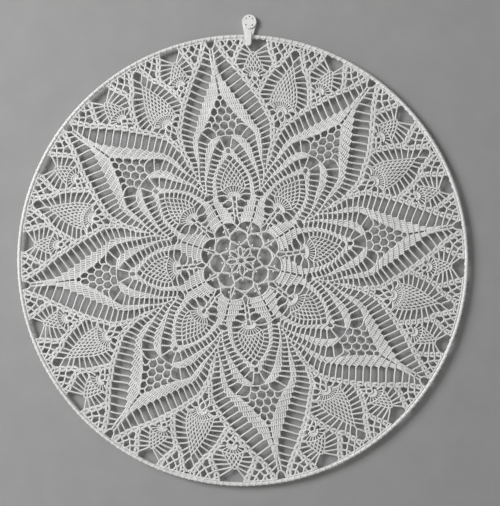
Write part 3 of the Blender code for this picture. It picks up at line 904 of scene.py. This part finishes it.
def fill(tree, made, inputs):
    """Sets a node's inputs, each to a number or a colour, or links them to other nodes' outputs."""
    for key, value in inputs.items():
        if isinstance(value, bpy.types.NodeSocket):
            tree.links.new(value, made.inputs[key])
        else:
            made.inputs[key].default_value = value


def node(tree, kind, inputs=None):
    """A new shader node with its inputs."""
    made = tree.nodes.new("ShaderNode" + kind)
    fill(tree, made, inputs or {})
    return made


def maths(tree, operation, *values):
    """The result of a maths node."""
    made = node(tree, "Math")
    made.operation = operation
    fill(tree, made, dict(enumerate(values)))
    return made.outputs[0]


def noise(tree, where, scale, detail, roughness=0.5):
    """The value of a noise texture."""
    inputs = {"Vector": where, "Scale": scale, "Detail": detail, "Roughness": roughness}
    return node(tree, "TexNoise", inputs).outputs["Fac"]


def bumped(tree, height, strength, distance):
    """A normal from a height."""
    inputs = {"Height": height, "Strength": strength, "Distance": distance}
    return node(tree, "Bump", inputs).outputs["Normal"]


def ramp(tree, source, low, high):
    """A colour between two, driven by a value."""
    made = node(tree, "ValToRGB", {"Fac": source})
    for element, colour, position in zip(made.color_ramp.elements, (low, high), (0.3, 0.7)):
        element.color = (*colour, 1.0)
        element.position = position
    return made.outputs["Color"]


def new_material(name):
    """A material, its node tree, its shader and the object's own coordinates."""
    made = bpy.data.materials.new(name)
    made.use_nodes = True
    tree = made.node_tree
    return made, tree, tree.nodes["Principled BSDF"], node(tree, "TexCoord").outputs["Object"]


def cotton(name, dark, light, depth):
    """Mercerised cotton thread: two plies twisted together, fine fibres, faint soiling in large patches."""
    made, tree, shader, where = new_material(name)
    plies = 2.0
    twist = 0.9            # turns to a millimetre
    ridge = 0.35           # how much the twist shows beside the fibres
    fibres = noise(tree, where, 2600.0, 3.0)
    soiling = noise(tree, where, 38.0, 4.0, 0.65)
    thread = node(tree, "UVMap")
    thread.uv_map = "thread"
    split = node(tree, "SeparateXYZ", {"Vector": thread.outputs["UV"]})
    along = maths(tree, "MULTIPLY", split.outputs["Y"], twist)
    turns = maths(tree, "MULTIPLY_ADD", split.outputs["X"], plies, along)
    ridges = maths(tree, "SINE", maths(tree, "MULTIPLY", turns, 2.0 * math.pi))
    relief = maths(tree, "MULTIPLY_ADD", ridges, ridge, fibres)
    fill(tree, shader, {
        "Base Color": ramp(tree, soiling, dark, light),
        "Roughness": 0.82,
        "Specular IOR Level": 0.35,
        "Sheen Weight": 0.15,
        "Sheen Roughness": 0.5,
        "Normal": bumped(tree, relief, 0.6, depth),
    })
    return made


def coated(name, dark, light, rough, scale, bumps, depth, metallic=0.0):
    """A coated, moulded or bare surface: faint mottling, fine relief and uneven gloss."""
    made, tree, shader, where = new_material(name)
    mottle = noise(tree, where, scale, 5.0)
    grain = noise(tree, where, bumps, 2.0)
    gloss = node(tree, "MapRange", {"Value": mottle, "To Min": rough - 0.08, "To Max": rough + 0.10})
    fill(tree, shader, {
        "Base Color": ramp(tree, mottle, dark, light),
        "Metallic": metallic,
        "Roughness": gloss.outputs["Result"],
        "Normal": bumped(tree, grain, 0.35, depth),
    })
    return made


thread_look = cotton("white cotton thread", (0.66, 0.66, 0.65), (0.77, 0.77, 0.76), 0.00012)
lash_look = cotton("lashing thread", (0.70, 0.70, 0.69), (0.80, 0.80, 0.79), 0.00010)
hoop_look = coated("white coated wire", (0.66, 0.66, 0.65), (0.78, 0.78, 0.77), 0.42, 60.0, 900.0, 0.00005)
hook_look = coated("white moulded plastic", (0.72, 0.72, 0.71), (0.80, 0.80, 0.79),
                   0.45, 90.0, 700.0, 0.00008)
pin_look = coated("pin steel", (0.42, 0.42, 0.43), (0.60, 0.60, 0.61), 0.42, 300.0, 2000.0, 0.00002, 1.0)


def paint(obj, look):
    """Gives an object one material."""
    obj.data.materials.clear()
    obj.data.materials.append(look)


for obj in lace:
    paint(obj, thread_look)
    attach(obj, "root")
paint(wound, lash_look)
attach(wound, "root")
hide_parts("doily")
paint(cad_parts["hoop"], hoop_look)
paint(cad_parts["hook"], hook_look)
for number in (1, 2, 3, 4):
    paint(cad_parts["pin_%d" % number], pin_look)


# ---- Stage, light and camera ----

# In metres
HUB = Vector((0.0, WIRE_Y * MM, HOOP_Z * MM))
WALL_Y = 0.0004            # just behind the flat back of the hook
WALL_SIDE, WALL_TOP = 2.5, 2.0
FLOOR_Z, FLOOR_SIDE = -0.85, 4.0


def plane(name, corners, look):
    """A flat piece of the stage."""
    mesh = bpy.data.meshes.new(name)
    mesh.from_pydata(corners, [], [(0, 1, 2, 3)])
    mesh.update()
    obj = in_scene(name, mesh)
    paint(obj, look)


def wall_look():
    """Plain grey paint, clear from behind and to shadow rays, so that the object's back shows and is lit."""
    made, tree, shader, where = new_material("wall paint")
    mottle = noise(tree, where, 30.0, 6.0)
    fill(tree, shader, {
        "Base Color": ramp(tree, mottle, (0.315, 0.315, 0.315), (0.335, 0.335, 0.335)),
        "Roughness": 0.9,
        "Specular IOR Level": 0.1,
    })
    behind = node(tree, "NewGeometry").outputs["Backfacing"]
    shadow = node(tree, "LightPath").outputs["Is Shadow Ray"]
    clear = node(tree, "BsdfTransparent").outputs["BSDF"]
    passed = maths(tree, "MAXIMUM", behind, shadow)
    mixed = node(tree, "MixShader", {"Fac": passed, 1: shader.outputs["BSDF"], 2: clear})
    fill(tree, tree.nodes["Material Output"], {"Surface": mixed.outputs["Shader"]})
    return made


def floor_look():
    """Pale matt paint."""
    made, tree, shader, _ = new_material("pale floor")
    fill(tree, shader, {"Base Color": (0.62, 0.62, 0.61, 1.0), "Roughness": 0.9})
    return made


plane("wall", [(-WALL_SIDE, WALL_Y, FLOOR_Z), (WALL_SIDE, WALL_Y, FLOOR_Z),
               (WALL_SIDE, WALL_Y, WALL_TOP), (-WALL_SIDE, WALL_Y, WALL_TOP)], wall_look())
plane("floor", [(-FLOOR_SIDE, -FLOOR_SIDE, FLOOR_Z), (FLOOR_SIDE, -FLOOR_SIDE, FLOOR_Z),
                (FLOOR_SIDE, FLOOR_SIDE, FLOOR_Z), (-FLOOR_SIDE, FLOOR_SIDE, FLOOR_Z)], floor_look())


def area_light(name, offset, size, power):
    """A round soft light that stands off from the hoop's centre and shines on it."""
    data = bpy.data.lights.new(name, "AREA")
    data.shape = "DISK"
    data.size = size
    data.energy = power
    place = HUB + Vector(offset)
    obj = in_scene(name, data)
    obj.location = place
    obj.rotation_euler = (HUB - place).to_track_quat("-Z", "Y").to_euler()


area_light("key", (-1.92, -1.44, 0.88), 1.2, 69.0)
area_light("fill", (0.2, -1.9, 1.5), 2.0, 8.0)
area_light("back", (1.0, 1.9, 0.9), 1.6, 12.0)
world = bpy.data.worlds.new("soft room")
bpy.context.scene.world = world
world.use_nodes = True
background = world.node_tree.nodes["Background"]
fill(world.node_tree, background, {"Color": (1.0, 1.0, 1.0, 1.0), "Strength": 0.06})

# Seen almost square on, from a little right of and above the centre, with a slight roll.
DISTANCE = 1.0             # metres
AZIMUTH, ELEVATION, ROLL = 2.0, 1.0, 1.87
LENS, SENSOR = 64.2, 36.0
AIM_RIGHT, AIM_UP = 0.0095, 0.0086     # from the hoop's centre to the middle of the view, in metres


def facing(place, target):
    """The rotation of a camera that looks from place at target, with its roll."""
    straight = (target - place).to_track_quat("-Z", "Y").to_matrix()
    return straight @ Matrix.Rotation(math.radians(ROLL), 3, "Z")


data = bpy.data.cameras.new("camera")
data.lens = LENS
data.sensor_width = SENSOR
camera = in_scene("camera", data)
az, el = math.radians(AZIMUTH), math.radians(ELEVATION)
seat = HUB + DISTANCE * Vector((math.sin(az) * math.cos(el), -math.cos(az) * math.cos(el), math.sin(el)))
square = facing(seat, HUB)
aim = HUB + square.col[0] * AIM_RIGHT + square.col[1] * AIM_UP
camera.matrix_world = Matrix.Translation(seat) @ facing(seat, aim).to_4x4()
bpy.context.scene.camera = camera
bpy.context.scene.view_settings.view_transform = "Standard"
